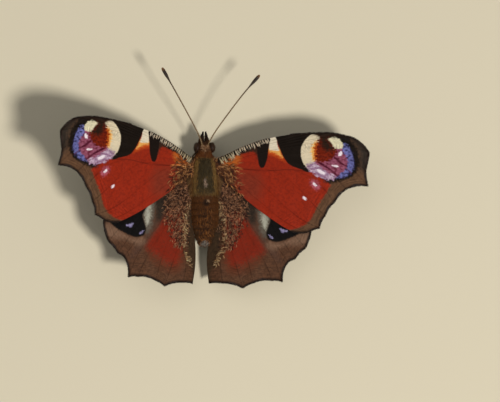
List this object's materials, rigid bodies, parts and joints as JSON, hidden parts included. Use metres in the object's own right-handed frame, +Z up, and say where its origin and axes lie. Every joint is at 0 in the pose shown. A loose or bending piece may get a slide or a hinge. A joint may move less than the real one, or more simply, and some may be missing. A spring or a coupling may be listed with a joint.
{
  "type": "peacock_butterfly",
  "caption": "Life-size still model of a peacock butterfly resting with its wings open, four eyespots, feelers forward, standing on four legs.",
  "frame": {"origin": "on the ground below the middle of the butterfly's outline, seen from above", "axes": "+X to the butterfly's right wing tip, +Y forward to its head, +Z up"},
  "size_m": [0.0606, 0.0422, 0.0187],
  "materials": {
    "wing_scales": "fine dusty scales, matt",
    "body_fur": "short dense fur",
    "horn": "dark horn, slightly glossy",
    "eyes": "glossy dark brown facets"
  },
  "bodies": {
    "root": {"head": "body_fur", "thorax": "body_fur", "abdomen": "body_fur", "palp_right": "body_fur", "palp_left": "body_fur", "eye_right": "eyes", "eye_left": "eyes", "antenna_right": "horn", "antenna_left": "horn", "proboscis": "horn", "foreleg_right": "horn", "foreleg_left": "horn", "midleg_right": "horn", "midleg_left": "horn", "hindleg_right": "horn", "hindleg_left": "horn", "forewing_right": "wing_scales", "forewing_left": "wing_scales", "hindwing_right": "wing_scales", "hindwing_left": "wing_scales"}
  },
  "joints": []
}
